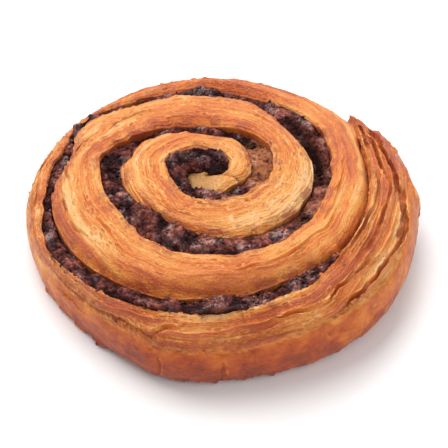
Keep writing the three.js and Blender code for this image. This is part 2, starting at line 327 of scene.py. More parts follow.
# Cracks that run down the crust: how deep they are, and how near a place is to their edges.
def crustCracks(angle, down):
    depth = 0 * down
    edge = 0 * down
    for at, top, bottom, deep in strip["crustCracks"]:
        away = angle - at - 0.5 * np.sin(0.45 * down + at) - 0.1 * np.sin(2.3 * down)
        share = smooth(down, top - 1, top + 0.5) * (1 - smooth(down, bottom - 0.5, bottom + 1))
        depth = depth + deep * np.exp(-((away / 0.4) ** 2)) * share
        beside = np.exp(-(((away - 0.6) / 0.3) ** 2)) * (0.6 + 0.4 * np.sin(1.7 * down))
        edge = np.maximum(edge, beside * share)
    return depth, edge


# How far the dough is baked, from pale to dark, before its own texture.
def bakeAmount(angle, share):
    total = 0.5 + 0.11 * smooth(angle, 600, 840) + 0 * angle * share
    for at, middle, alongSpread, acrossSpread, amount in strip["bakes"]:
        away = ((angle - at) / alongSpread) ** 2 + ((share - middle) / acrossSpread) ** 2
        total = total + amount * np.exp(-away)
    return total


# Coil angles of the stations, one step apart along the strip's middle, stopping at every cut.
def stations():
    stops = [coil["tipAngle"] - 1e-4, coil["tipAngle"], *strip["cuts"], coil["stripEnd"]]
    steps = [strip["steps"][0]] * 3 + list(strip["steps"][1:])
    angles = [strip["start"]]
    for stop, step in zip(stops, steps):
        inner, outer = stripSides(np.linspace(angles[-1] + 0.1, stop, 60))
        reach = np.radians(stop - angles[-1]) * np.maximum((inner + outer) / 2, 4.2).mean()
        count = max(1, round(reach / step))
        if count == 1:
            angles.append(stop)
            continue
        pace = np.linspace(angles[-1], stop, 400)
        inner, outer = stripSides(pace)
        way = np.concatenate([[0], np.cumsum(np.maximum((inner + outer) / 2, 4.2))[:-1]])
        angles.extend(np.interp(np.linspace(0, way[-1], count + 1)[1:], way, pace).tolist())
        angles[-1] = stop
    return np.array(angles)


# Places down the channel's side: most rows are in the part that can be seen from above.
def channelSide(down, edgeRadius, edgeHeight):
    seen = 0.75
    depth = np.minimum(down / seen, 1) * strip["channelDepth"] + 0 * edgeRadius
    height = (edgeHeight - depth) * (1 - np.clip((down - seen) / (1 - seen), 0, 1))
    return edgeRadius * mix(shape["baseShare"], 1, height / edgeHeight), height, depth


# Places down the strip's outer side, which is the crust from the strip's last turn on.
def outerSide(angle, down, edgeRadius, edgeHeight):
    insets, shares = np.array(shape["wallColumn"]).T
    steps = np.hypot(np.diff(insets), strip["sideHeight"] * np.diff(shares))
    way = np.concatenate([[0], np.cumsum(steps)])
    crustDown = 0.55 * down + 0.45 * down**2
    inset = np.interp(crustDown, way / way[-1], insets)
    share = np.interp(crustDown, way / way[-1], shares)
    bumps = 0.25 * waver(angle, 9) * np.sin(np.pi * share)
    ruffle = 0.4 + 0.6 * waver(7 * angle, 6) + 0.8 * waver(29 * angle, 3) * waver(4 * angle, 5)
    ruffle = ruffle * smooth(angle, coil["outerStart"], coil["outerStart"] + 30)
    foot = ruffle * np.exp(-(((share - 0.05) / 0.09) ** 2))
    crustRadius = outline(angle) - inset * insetShare(angle) + bumps + foot
    isCrust = crustShare(angle)
    radius, height, depth = channelSide(down, edgeRadius, edgeHeight)
    radius = mix(radius, crustRadius, isCrust)
    height = mix(height, edgeHeight * share, isCrust)
    return radius, height, mix(depth, strip["sideLength"] * crustDown, isCrust)


# The strip's section at every station: over its top, down its outer side, along its base and up
# its inner side.
def drawSections(angles):
    a = angles[:, None]
    inner, outer = (side[:, None] for side in stripSides(angles))
    across = np.linspace(0, 1, strip["topRows"] + 1)[None, :]
    across = across - 0.05 * np.sin(2 * np.pi * across)  # rows lie closer together at both sides
    radius = inner + (outer - inner) * across
    core = coil["tipAngle"]
    start = np.where(a < core - 1e-6, float(coilRadius(core)) + strip["crack"], inner)
    topCut, topLips = slitDepth(a, radius - start)
    top = topHeight(a, radius, inner, outer) - topCut

    down = np.linspace(0, 1, strip["crustRows"] + 1)[None, 1:]
    outerRadius, outerHeight, outerDepth = outerSide(a, down, outer, top[:, -1:])
    isCrust = crustShare(a)
    cut, crustLips = (part * isCrust for part in slitDepth(a, outer - start + outerDepth))
    crack, crackEdge = (part * isCrust for part in crustCracks(a, outerDepth))
    under = smooth(outerDepth, 0, strip["rimFold"])
    outerHeight = outerHeight - cut * (1 - under)
    outerRadius = outerRadius - 0.8 * (cut * under + crack)

    down = np.linspace(0, 1, strip["wallRows"] + 1)[None, 1:]
    innerRadius, innerHeight, innerDepth = channelSide(down, inner, top[:, :1])
    # Along the seam the strip's inner side follows the turn that it lies against.
    before = a - 360
    seamRadius, seamHeight, _ = outerSide(before, down, stripSides(before)[1], top[:, :1])
    seamed = smooth(a, coil["fillingEnd"] - 4, coil["fillingEnd"] + 6)
    innerRadius = mix(innerRadius, seamRadius + 2 * strip["crack"], seamed)
    innerHeight = mix(innerHeight, seamHeight, seamed)
    innerRadius, innerHeight, innerDepth = (m[:, ::-1] for m in (innerRadius, innerHeight, innerDepth))
    baseShare = np.linspace(0, 1, strip["baseRows"])[1:-1]
    baseRadius = mix(outerRadius[:, -1:], innerRadius[:, :1], baseShare)
    return SimpleNamespace(
        angle=a,
        across=across,
        width=outer - inner,
        fromStart=radius - start,
        radius=np.hstack([radius, outerRadius, baseRadius, innerRadius]),
        height=np.hstack([top, outerHeight, 0 * baseRadius, innerHeight]),
        outerDepth=outerDepth,
        innerDepth=innerDepth,
        cuts=(topCut, cut + crack),
        lips=(topLips, crustLips),
        crackEdge=crackEdge,
    )


# The way out of the surface at every point.
def outwardWays(points, angles):
    aside = np.roll(points, -1, axis=1) - np.roll(points, 1, axis=1)
    ahead = np.gradient(points, axis=0)
    jump = int(np.argmin(np.abs(angles - coil["tipAngle"])))
    ahead[jump] = ahead[jump + 1]
    ahead[jump - 1] = ahead[jump - 2]
    way = np.cross(ahead, aside)
    way[:, 0] = way[:, 0] + way[:, 1]
    return way / np.maximum(np.linalg.norm(way, axis=2, keepdims=True), 1e-12)


# What the relief and the materials read at every point of the strip.
def surfaceFields(section, points):
    a = section.angle
    outerDepth = section.outerDepth
    fromStart = section.fromStart
    fromOuter = section.width - fromStart
    isCrust = crustShare(a)
    base = np.zeros((len(a), strip["baseRows"] - 2))

    def ringOf(top, side=0, under=0, channel=0):
        parts = zip((top, side, under, channel), (fromStart, outerDepth, base, section.innerDepth))
        return np.hstack([value + 0 * like for value, like in parts])

    middle = points[:, strip["topRows"] // 2, :2]
    along = np.concatenate([[0], np.cumsum(np.hypot(*np.diff(middle, axis=0).T))]) / mm
    begin = np.interp(a, *zip(*strip["crustStart"])) + 0.5 * waver(3.1 * a, 4) + 0.3 * waver(11 * a, 2)
    begin = begin + 0.35 * waver(23 * a, 7) * waver(5 * a, 3) + 0.25 * waver(61 * a, 5) * waver(9 * a, 8)
    tearEdge = np.exp(-(((outerDepth - begin + 0.1) / 0.4) ** 2)) * smooth(a, *strip["tornFrom"])
    tearEdge = np.maximum(tearEdge * (0.6 + 0.4 * waver(13 * a, 2)), section.crackEdge)
    crust = smooth(outerDepth - begin, -0.25, 0.35) * isCrust
    topCrust = smooth(-fromOuter - begin, -0.25, 0.35) * isCrust
    isWall = (1 - isCrust) * smooth(outerDepth, 0, 1)
    # Where the layers show: all of the top but the smooth slopes beside the filling.
    slopes = bells(a, strip["innerFalls"]) / 2.6 * (1 - smooth(fromStart, 2, 3.4))
    outerSlopes = bells(a, strip["outerFalls"]) / 2.8 * (1 - smooth(fromOuter, 2, 4.2))
    slopes = np.clip(slopes + outerSlopes * (1 - isCrust), 0, 0.85)
    flakyTop = (1 - slopes) * (1 - 0.9 * topCrust) * (1 - 0.6 * smooth(-a, 10, 60))
    flakyTop = flakyTop * (1 - bells(a, strip["calm"]))
    broad = mix(0.25, 1, smooth(a, *strip["broadLeaves"])) - 0.35 * smooth(a, *strip["broadEnd"])
    right = section.radius * np.cos(np.radians(a))
    inHollow = (1 - smooth(a, *strip["oliveTurn"])) * (1 - smooth(right, *strip["hollowReach"]))
    fromInner = fromStart + strip["far"] * (a < coil["tipAngle"])
    fromFilling = np.minimum(fromInner, mix(fromOuter, strip["far"], isCrust))
    sideFromFilling = mix(-outerDepth, strip["far"], isCrust)
    everywhere = 0 * section.radius
    return {
        "along": along[:, None] + everywhere,
        "across": ringOf(fromStart, section.width + outerDepth, section.width + 20, -section.innerDepth),
        "fromFilling": ringOf(fromFilling, sideFromFilling, 0, -section.innerDepth),
        "flaky": ringOf(flakyTop, (1 - crust) * isCrust + 0.25 * isWall, 0, 0.25),
        "crust": ringOf(topCrust, crust),
        "crustDepth": ringOf(0, (outerDepth - begin) * isCrust),
        "bake": ringOf(bakeAmount(a, section.across), bakeAmount(a, 1), 0, 0.55),
        "broad": broad + everywhere,
        "tears": 1 + bells(a, strip["pits"]) + everywhere,
        "tearEdge": ringOf(0, tearEdge),
        "hollow": inHollow,
        "coilAngle": a + everywhere,
        "slit": ringOf(*section.cuts).clip(0, 4),
        "slitLips": ringOf(*section.lips),
    }


# The whole strip as rings of points round its section, one for each station.
def drawStrip():
    angles = stations()
    section = drawSections(angles)
    points = place(section.angle, section.radius, section.height)
    way = outwardWays(points, angles)
    way *= np.minimum(section.height[..., None] / 2.5, 1)  # the base stays flat
    return angles, points, way, surfaceFields(section, points)


# The face at the strip's loose end, as rings that close in on its middle, with the leaves' edges.
def drawEnd(edge, ahead, along):
    top = strip["topRows"]
    foot = top + strip["crustRows"]
    middle = edge[top // 2] / 2 + (edge[foot] + edge[foot + strip["baseRows"] - 1]) / 4
    shares = np.linspace(1, 0, strip["endRings"] + 1)[1:-1, None, None]
    inside = middle + (edge - middle) * shares
    sideways = edge[top] - edge[0]
    sideways[2] = 0
    across = (inside - edge[0]) @ (sideways / np.linalg.norm(sideways)) / mm
    points = np.vstack([inside.reshape(-1, 3), middle])
    across = np.append(across.ravel(), across.mean())
    low = np.minimum(points[:, 2:] / mm / 2.5, 1)
    values = {"along": along + points[:, 2] / mm, "across": across, "flaky": 0.9, "crust": 0.35}
    values.update({"bake": 0.6, "broad": 0.6, "tears": 1})
    return points, ahead * low, values


def setPointField(mesh, name, values):
    attribute = mesh.attributes.new(name, "FLOAT", "POINT")
    attribute.data.foreach_set("value", np.asarray(values, np.float32).ravel())


def readPointField(mesh, name):
    values = np.empty(len(mesh.vertices), np.float32)
    mesh.attributes[name].data.foreach_get("value", values)
    return values


# Gives a mesh its fields, and at each point the way in which the relief moves it.
def setPointFields(mesh, fields, way):
    for name, values in fields.items():
        setPointField(mesh, name, values)
    attribute = mesh.attributes.new("way", "FLOAT_VECTOR", "POINT")
    attribute.data.foreach_set("vector", way.ravel().astype(np.float32))


# One closed piece of the strip between two stations.
def makeStripPiece(name, first, last, points, way, fields):
    shown = points[first : last + 1]
    count, ring = shown.shape[:2]
    index = np.arange(count * ring).reshape(count, ring)
    following = np.roll(index, -1, axis=1)
    quads = np.stack([index[:-1], following[:-1], following[1:], index[1:]], axis=-1).reshape(-1, 4)
    faces = quads.tolist() + [index[0].tolist()]
    spots = shown.reshape(-1, 3)
    ways = way[first : last + 1].reshape(-1, 3)
    values = {key: field[first : last + 1].ravel() for key, field in fields.items()}
    smoothFaces = [True] * len(quads) + [False]
    if last < len(points) - 1:
        faces.append(index[-1][::-1].tolist())
        smoothFaces.append(False)
    else:
        ahead = shown[-1, strip["topRows"] // 2] - shown[-3, strip["topRows"] // 2]
        ahead[2] = 0
        ahead /= np.linalg.norm(ahead)
        endSpots, endWays, endValues = drawEnd(shown[-1], ahead, fields["along"][-1, 0])
        spots = np.vstack([spots, endSpots])
        ways = np.vstack([ways, endWays])
        for key in values:
            values[key] = np.append(values[key], endValues.get(key, 0) + np.zeros(len(endSpots)))
        rings = strip["endRings"]
        inner = np.arange((rings - 1) * ring).reshape(rings - 1, ring) + count * ring
        loops = np.vstack([index[-1:], inner])
        nextLoops = np.roll(loops, -1, axis=1)
        for near, nearNext, far, farNext in zip(loops, nextLoops, loops[1:], nextLoops[1:]):
            faces += np.stack([nearNext, near, far, farNext], axis=-1).tolist()
        last = len(spots) - 1
        faces += [[b, a, last] for a, b in zip(loops[-1].tolist(), nextLoops[-1].tolist())]
        smoothFaces += [False] * ring + [True] * (len(faces) - len(quads) - 1 - ring)
    mesh = bpy.data.meshes.new(name)
    mesh.from_pydata(spots.tolist(), [], faces)
    setPointFields(mesh, values, ways)
    mesh.polygons.foreach_set("use_smooth", smoothFaces)
    mesh.flip_normals()
    print(name, len(mesh.vertices), "points,", 2 * len(quads), "triangles")
    return mesh


# The filling: a rope of packed crumbs in the channel, from the hook's tip to its blunt end.
filling = {
    "step": 0.225,
    "crownRows": 34,
    "sideRows": 5,
    "recess": 2.3,
    "recessLean": 0.8,  # how much deeper the crown lies at the back, and shallower at the front
    "shoulder": 1.2,
    "overlap": 0.12,  # how far it is pressed into the dough
    "bulges": [(60, 1.1, 70)],  # where it swells over the core, and how far
    "tilts": [  # where one side of the crown stands higher: coil angle, rise outwards, spread
        (115, 2.0, 85), (300, 0.6, 30), (450, 0.5, 40), (525, 0.9, 14), (592, -2.4, 34),
        (735, 0.9, 24), (690, 0.8, 14), (905, -0.6, 20), (978, 1.5, 46),
    ],
    "hollows": [(739, 5.0, 18)],  # where its middle has sunk in: coil angle, depth, spread
    "rises": [  # lumps that stand proud and hollows: coil angle, height, spread
        (40, 2.7, 75), (165, 2.1, 45), (260, 0.6, 40), (376, 0.7, 22), (500, -0.4, 18),
        (540, -1.2, 9), (572, -0.8, 10), (640, 0.5, 18), (668, -0.6, 8), (700, 0.5, 12),
        (735, -0.9, 20), (768, 0.7, 10), (795, -0.7, 12), (812, 1.4, 9), (862, 2.4, 9),
        (882, 0.6, 8), (905, 0.5, 12), (970, 0.4, 14), (984, -0.8, 4), (996, 1.3, 7),
        (1007, -0.5, 3.5), (1016, -0.8, 4), (1028, 0.4, 8),
    ],
}


def makeFillingMesh():
    angles = [coil["tipAngle"] + 0.6]
    while angles[-1] < coil["fillingEnd"] - 0.4:
        radius = max(float(coilRadius(np.array(angles[-1]))), 4)
        angles.append(angles[-1] + math.degrees(filling["step"] / radius))
    a = np.array(angles)[:, None]
    half = halfWidth(a) + filling["overlap"]
    radius = coilRadius(a)
    recess = filling["recess"] + filling["recessLean"] * np.sin(np.radians(a))
    crown = domeHeight(a, radius) - recess + bells(a, filling["rises"])
    turn = np.linspace(0, np.pi, filling["crownRows"] + 1)[None, :]
    side = np.cos(turn)  # 1 at the outer side
    shoulder = filling["shoulder"] * (1 + 0.9 * (1 - smooth(a, 100, 200)))
    drop = shoulder * np.minimum(half, 1) * (1 - np.sin(turn) ** 0.8)
    crownHeight = crown - drop + bells(a, filling["tilts"]) * side
    sunk = bells(a, filling["hollows"]) * np.exp(-(((side + 0.15) / 0.42) ** 2))
    crownHeight = crownHeight - sunk
    swell = np.minimum(bells(a, filling["bulges"]), 0.6 * half)
    crownRadius = radius + half * side - swell * np.maximum(-side, 0) ** 1.5
    down = np.linspace(0, 1, filling["sideRows"] + 1)[None, 1:] ** 1.4

    def sideColumn(edgeRadius, edgeHeight):
        height = edgeHeight * (1 - down)
        return edgeRadius * mix(shape["baseShare"], 1, height / edgeHeight), height

    innerRadius, innerHeight = sideColumn(crownRadius[:, -1:], crownHeight[:, -1:])
    outerRadius, outerHeight = sideColumn(crownRadius[:, :1], crownHeight[:, :1])
    ringRadius = np.hstack([crownRadius, innerRadius, outerRadius[:, ::-1]])
    ringHeight = np.hstack([crownHeight, innerHeight, outerHeight[:, ::-1]])
    points = place(a, ringRadius, ringHeight)
    count, ring = ringRadius.shape
    index = np.arange(count * ring).reshape(count, ring)
    following = np.roll(index, -1, axis=1)
    quads = np.stack([index[:-1], index[1:], following[1:], following[:-1]], axis=-1).reshape(-1, 4)
    faces = quads.tolist() + [index[0][::-1].tolist(), index[-1].tolist()]
    mesh = bpy.data.meshes.new("filling_spiral")
    mesh.from_pydata(points.reshape(-1, 3).tolist(), [], faces)
    loose = np.zeros((count, ring))
    loose[:, : filling["crownRows"] + 1] = 1
    loose[:, filling["crownRows"] + 1] = loose[:, -1] = 0.6
    sunk = np.hstack([sunk, 0 * innerRadius, 0 * outerRadius])
    fields = {"loose": loose, "coilAngle": np.repeat(a, ring, axis=1), "sunk": sunk}
    # Lumps rise upwards and only a little sideways, so that the rope's edges stay even.
    lean = np.hstack([0.45 * side * (1 - side**4) + 0 * a, 0 * innerRadius, 0 * outerRadius])
    turned = np.radians(a)
    way = np.stack([lean * np.cos(turned), lean * np.sin(turned), 1 + 0 * lean], axis=-1)
    setPointFields(mesh, fields, way)
    mesh.flip_normals()
    mesh.shade_smooth()
    print("filling", len(mesh.vertices), "points,", 2 * len(quads), "triangles")
    return mesh


# A number that varies over the surface, for sums written out in Python.
class Field:
    def __init__(self, tree, socket):
        self.tree = tree
        self.socket = socket

    def apply(self, operation, *others):
        inputs = dict(enumerate((self, *others)))
        made = addNode(self.tree, "ShaderNodeMath", inputs, operation=operation)
        return Field(self.tree, made.outputs[0])

    def __add__(self, other):
        return self.apply("ADD", other)

    def __sub__(self, other):
        return self.apply("SUBTRACT", other)

    def __mul__(self, other):
        return self.apply("MULTIPLY", other)

    def __truediv__(self, other):
        return self.apply("DIVIDE", other)

    def inverted(self):
        return self.apply("MULTIPLY_ADD", -1.0, 1.0)

    def ramp(self, low, high, start=0.0, end=1.0):
        inputs = {"Value": self, "From Min": low, "From Max": high, "To Min": start, "To Max": end}
        made = addNode(self.tree, "ShaderNodeMapRange", inputs, interpolation_type="SMOOTHSTEP")
        return Field(self.tree, made.outputs[0])

    def blend(self, other, share):
        return self + (other - self) * share


# Node trees: a node's inputs are given by name or number, as values, sockets or fields.
def fillInputs(tree, made, inputs):
    for key, value in inputs.items():
        value = value.socket if isinstance(value, Field) else value
        if isinstance(value, bpy.types.NodeSocket):
            tree.links.new(value, made.inputs[key])
        else:
            made.inputs[key].default_value = value


def addNode(tree, kind, inputs, **settings):
    made = tree.nodes.new(kind)
    for name, value in settings.items():
        setattr(made, name, value)
    fillInputs(tree, made, inputs)
    return made


def readField(tree, name):
    if tree.bl_idname == "GeometryNodeTree":
        made = addNode(tree, "GeometryNodeInputNamedAttribute", {"Name": name}, data_type="FLOAT")
        return Field(tree, made.outputs["Attribute"])
    made = addNode(tree, "ShaderNodeAttribute", {}, attribute_name=name)
    return Field(tree, made.outputs["Fac"])


def readVector(tree, name):
    made = addNode(tree, "GeometryNodeInputNamedAttribute", {"Name": name}, data_type="FLOAT_VECTOR")
    return made.outputs["Attribute"]


def joinVector(tree, x, y, z=0.0):
    return addNode(tree, "ShaderNodeCombineXYZ", {0: x, 1: y, 2: z}).outputs[0]


def vectorMath(tree, operation, inputs):
    return addNode(tree, "ShaderNodeVectorMath", inputs, operation=operation).outputs[0]


# Noise from -0.5 to 0.5.
def noise(tree, vector, scale=1.0, detail=2.0, roughness=0.5):
    inputs = {"Vector": vector, "Scale": scale, "Detail": detail, "Roughness": roughness}
    return Field(tree, addNode(tree, "ShaderNodeTexNoise", inputs).outputs[0]) - 0.5


def storeFields(tree, geometry, fields):
    for name, value in fields.items():
        inputs = {"Geometry": geometry, "Name": name, "Value": value}
        geometry = addNode(tree, "GeometryNodeStoreNamedAttribute", inputs, data_type="FLOAT").outputs[0]
    return geometry


# A geometry tree with named inputs, from {name: default}; a material and geometry always come.
def startTree(name, inputs):
    tree = bpy.data.node_groups.new(name, "GeometryNodeTree")
    face = tree.interface
    face.new_socket("Geometry", in_out="INPUT", socket_type="NodeSocketGeometry")
    for key, value in inputs.items():
        made = face.new_socket(key, in_out="INPUT", socket_type="NodeSocketFloat")
        made.default_value = value
    face.new_socket("Material", in_out="INPUT", socket_type="NodeSocketMaterial")
    face.new_socket("Geometry", in_out="OUTPUT", socket_type="NodeSocketGeometry")
    entry = addNode(tree, "NodeGroupInput", {})
    fields = {key: Field(tree, entry.outputs[key]) for key in inputs}
    return tree, entry, fields


def endTree(tree, entry, geometry):
    real = addNode(tree, "GeometryNodeRealizeInstances", {0: geometry}).outputs[0]
    coloured = addNode(tree, "GeometryNodeSetMaterial", {0: real, 2: entry.outputs["Material"]})
    addNode(tree, "NodeGroupOutput", {0: coloured.outputs[0]})
    return tree


# Moves every point along its own way, by a height in millimetres, as a tree's last step.
def raiseAndEnd(tree, entry, geometry, height):
    offset = vectorMath(tree, "SCALE", {0: readVector(tree, "way"), "Scale": height * mm})
    moved = addNode(tree, "GeometryNodeSetPosition", {"Geometry": geometry, "Offset": offset})
    return endTree(tree, entry, moved.outputs[0])


# Small pits in the leaves. Lengths are along and across the strip, in millimetres.
pitKinds = [
    {
        "seed": 30,
        "grid": (3.1, 0.85),  # a pit at most in each of its cells
        "patches": (11, 4),  # that the pits gather in
        "gather": 1.8,  # how strongly they do
        "follow": 0.12,  # how far their number follows the strip's pits
        "chance": (0.82, 0.96),  # draws between which a cell comes to have one
        "inside": (0.18, 0.34),  # its edge, in cells from its middle
        "brim": (0.28, 0.42, 0.6),  # start, top and end of its raised brim
    },
    {
        "seed": 50,
        "grid": (1.5, 0.6),
        "patches": (7, 3),
        "gather": 1.6,
        "follow": 0.1,
        "chance": (0.86, 0.98),
        "inside": (0.16, 0.36),
        "brim": (0.3, 0.44, 0.62),
    },
]


# Leaves of dough along the strip, each at a height of its own, torn open here and there.
def makeLayerTree():
    tree, entry, given = startTree(
        "dough_layers",
        {"Thin": 0.8, "Thick": 2.1, "Relief": 1.0, "Tears": 1.0, "Crust": 1.0, "Seed": 3.0},
    )
    along = readField(tree, "along") + given["Seed"] * 37.0
    across = readField(tree, "across")
    flaky = readField(tree, "flaky")
    crust = readField(tree, "crust")
    broad = readField(tree, "broad")

    def wave(length, width, seed):
        return noise(tree, joinVector(tree, along / length, across / width, given["Seed"] + seed))

    drawn = across + wave(30, 9, 1) * 2.9 + wave(8, 3.2, 2) * 1.0 + wave(2.2, 1.6, 3) * 0.22

    def ofLeaf(number, length, seed):
        spot = joinVector(tree, along / length, number * 5.37, given["Seed"] + seed)
        return noise(tree, spot, detail=1.0)

    # Leaves of one thickness: steps between them, the grooves where they meet, and what is torn.
    def leavesOf(thickness, length, sharpness, seed):
        phase = drawn / thickness + seed
        leaf = phase.apply("FLOOR")
        inside = phase - leaf
        border = (phase + 0.5).apply("FLOOR")
        rise = inside.ramp(0, sharpness)
        step = ofLeaf(leaf - 1.0, length, seed + 4).blend(ofLeaf(leaf, length, seed + 4), rise)
        edge = inside.apply("MINIMUM", inside.inverted())
        torn = ofLeaf(border, length * 0.4, seed + 6).ramp(0.04, 0.17) * given["Tears"]
        loose = ofLeaf(leaf, length * 0.7, seed + 7).ramp(-0.2, 0.2, 0.15, 1.0)
        groove = edge.ramp(0.0, sharpness).inverted() * loose
        slot = edge.ramp(0.02, sharpness * 1.25).inverted() * torn
        lap = inside.ramp(0.0, 1.0 - sharpness) * inside.ramp(1.0 - sharpness, 1.0).inverted() * loose
        brim = inside.ramp(0.97 - 2 * sharpness, 1 - sharpness) * inside.ramp(0.99, 1.0).inverted()
        return leaf, step, groove, slot, lap, brim * loose

    def pitsOf(kind):
        length, width = kind["grid"]
        spot = joinVector(tree, along / length, drawn / width, given["Seed"] + kind["seed"])
        near = addNode(tree, "ShaderNodeTexVoronoi", {"Vector": spot, "Scale": 1.0})
        random = addNode(tree, "ShaderNodeSeparateXYZ", {0: near.outputs["Color"]}).outputs[0]
        chance = Field(tree, random) + wave(*kind["patches"], kind["seed"] + 1) * kind["gather"]
        chance = chance + readField(tree, "tears") * kind["follow"]
        chance = chance.ramp(*kind["chance"]) * given["Tears"]
        away = Field(tree, near.outputs["Distance"])
        start, top, end = kind["brim"]
        brim = away.ramp(start, top) * away.ramp(top, end).inverted()
        return away.ramp(*kind["inside"]).inverted() * chance, brim * chance

    leaf, step, groove, slot, lap, brim = leavesOf(given["Thin"], 17, 0.16, 0)
    wideLeaf, wideStep, wideGroove, wideSlot, wideLap, wideBrim = leavesOf(given["Thick"], 40, 0.08, 40)
    (pit, pitLips), (pin, pinLips) = (pitsOf(kind) for kind in pitKinds)
    lips = pitLips.apply("MAXIMUM", pinLips * 0.8)
    leaves = step * 0.17 + lap * 0.12 - groove * 0.06 - slot * 0.32
    leaves = leaves * broad.ramp(0, 1, 1, 0.4) - pit * 0.38 - pin * 0.26 + lips * 0.22
    leaves = leaves + wave(2.4, 0.5, 8) * 0.1
    leaves = leaves + (wideStep * 0.8 + wideLap * 0.75 - wideGroove * 0.2 - wideSlot * 0.7) * broad
    body = wave(9, 7, 9) * 0.8 + wave(2.6, 2.4, 10) * 0.16
    rough = wave(8, 10, 11) * 0.8 + wave(2.6, 3.5, 12) * 0.16 + wave(0.9, 0.9, 13) * 0.04
    crackLine = wave(3.4, 22, 14).apply("ABSOLUTE").ramp(0.0, 0.013).inverted()
    crackLine = crackLine * wave(14, 9, 15).ramp(0.04, 0.16)
    tear = readField(tree, "tearEdge") * wave(5, 2, 16).ramp(-0.12, 0.15)
    height = flaky * leaves * given["Relief"] + crust.inverted() * body * 0.55
    height = height + crust * (rough - crackLine * 0.45) * given["Crust"] + tear * 0.4

    tone = (ofLeaf(leaf, 14, 20) * 0.6).blend(ofLeaf(wideLeaf, 30, 21) * 1.2, broad * 0.7)
    lines = (groove * 0.3 + slot) * broad.ramp(0, 1, 1, 0.5) + wideGroove * broad * 0.5
    gaps = slot * 0.6 + pit + pin * 0.9 + wideSlot * broad
    brims = lips + brim * broad.ramp(0, 1, 0.35, 0.15) + wideBrim * broad * 0.9
    brims = brims + tear * 0.5 + readField(tree, "slitLips") * 0.8
    # groove, torn and lips feed the colour: painted shade in grooves, pits, slots and crust cracks, and
    # painted highlight on raised brims, together with the pale torn edges.
    stored = {
        "leafTone": tone * flaky,
        "groove": flaky * lines,
        "torn": flaky * gaps + crust * crackLine,
        "lips": flaky * brims,
        "relief": height,
    }
    geometry = storeFields(tree, entry.outputs["Geometry"], stored)
    return raiseAndEnd(tree, entry, geometry, height)


# Packed crumbs: lumps of several sizes pushed out of a smooth rope.
def makeCrumbTree():
    tree, entry, given = startTree("filling_crumbs", {"Lumps": 1.0, "Grains": 1.0, "Seed": 5.0})
    position = addNode(tree, "GeometryNodeInputPosition", {}).outputs[0]
    apart = joinVector(tree, given["Seed"] * 9.0, 0.0, 0.0)
    inMm = vectorMath(tree, "MULTIPLY_ADD", {0: position, 1: (1 / mm, 1 / mm, 1 / mm), 2: apart})
    shaken = addNode(tree, "ShaderNodeTexNoise", {"Vector": inMm, "Scale": 0.9, "Detail": 2.0})
    shaken = {0: shaken.outputs["Color"], 1: (0.9, 0.9, 0.9), 2: inMm}
    shaken = vectorMath(tree, "MULTIPLY_ADD", shaken)

    def domes(vector, scale):
        made = addNode(tree, "ShaderNodeTexVoronoi", {"Vector": vector, "Scale": scale})
        away = Field(tree, made.outputs["Distance"])
        return (away * away).inverted()

    boulders = domes(shaken, 0.17)
    clods = domes(shaken, 0.36)
    bits = domes(shaken, 0.8)
    grains = domes(inMm, 1.8)
    waves = noise(tree, inMm, 0.17, 3.0) * 2.0
    rough = noise(tree, inMm, 0.9, 3.0, 0.6) * 0.7
    height = waves + ((boulders - 0.7) * 1.6 + (clods - 0.7) * 0.9) * given["Lumps"]
    height = height + ((bits - 0.7) * 0.3 + (grains - 0.7) * 0.16) * given["Grains"] + rough
    # clod: how high a point stands within its lumps, which the filling's colour turns into painted light
    # on the tops and painted shade in the crevices.
    stored = {"relief": height, "clod": boulders * 0.35 + clods * 0.4 + bits * 0.25}
    geometry = storeFields(tree, entry.outputs["Geometry"], stored)
    return raiseAndEnd(tree, entry, geometry, height * readField(tree, "loose"))


# Small pieces strewn over a surface, thickest where its attribute "site" is high.
def makeStrewTree():
    tree, entry, given = startTree(
        "strewn_pieces", {"Density": 1.0, "Least": 0.5, "Most": 1.0, "Tilt": 0.3, "Seed": 1.0}
    )
    tree.interface.new_socket("Piece", in_out="INPUT", socket_type="NodeSocketObject")
    density = readField(tree, "site") * given["Density"] * 1e6
    seed = addNode(tree, "FunctionNodeFloatToInt", {0: given["Seed"]}).outputs[0]
    inputs = {"Mesh": entry.outputs["Geometry"], "Density": density, "Seed": seed}
    spots = addNode(tree, "GeometryNodeDistributePointsOnFaces", inputs)
    piece = addNode(tree, "GeometryNodeObjectInfo", {0: entry.outputs["Piece"]})
    inputs = {0: (-0.5, -0.5, -0.6), 1: (0.5, 0.5, 0.6), "Seed": seed}
    random = addNode(tree, "FunctionNodeRandomValue", inputs, data_type="FLOAT_VECTOR").outputs[0]
    tilt = vectorMath(tree, "SCALE", {0: random, "Scale": given["Tilt"] * 2.0})
    inputs = {"Rotation": spots.outputs["Rotation"], "Rotate By": tilt}
    rotation = addNode(tree, "FunctionNodeRotateRotation", inputs, rotation_space="LOCAL").outputs[0]
    inputs = {2: given["Least"], 3: given["Most"], "Seed": seed}
    size = addNode(tree, "FunctionNodeRandomValue", inputs, data_type="FLOAT").outputs[1]
    inputs = {"Points": spots.outputs["Points"], "Instance": piece.outputs["Geometry"]}
    inputs.update({"Rotation": rotation, "Scale": size})
    placed = addNode(tree, "GeometryNodeInstanceOnPoints", inputs)
    return endTree(tree, entry, placed.outputs[0])


def makeObject(name, mesh):
    made = bpy.data.objects.new(name, mesh)
    bpy.context.scene.collection.objects.link(made)
    return made


# Runs an object's mesh through a tree, and leaves the result on it as a plain mesh.
def runTree(piece, tree, values):
    modifier = piece.modifiers.new(tree.name, "NODES")
    modifier.node_group = tree
    for item in tree.interface.items_tree:
        if item.in_out == "INPUT" and item.name in values:
            modifier[item.identifier] = values[item.name]
    piece.update_tag()
    made = piece.evaluated_get(bpy.context.evaluated_depsgraph_get())
    mesh = bpy.data.meshes.new_from_object(made)
    piece.modifiers.remove(modifier)
    plain = piece.data
    piece.data = mesh
    bpy.data.meshes.remove(plain)
    mesh.name = piece.name


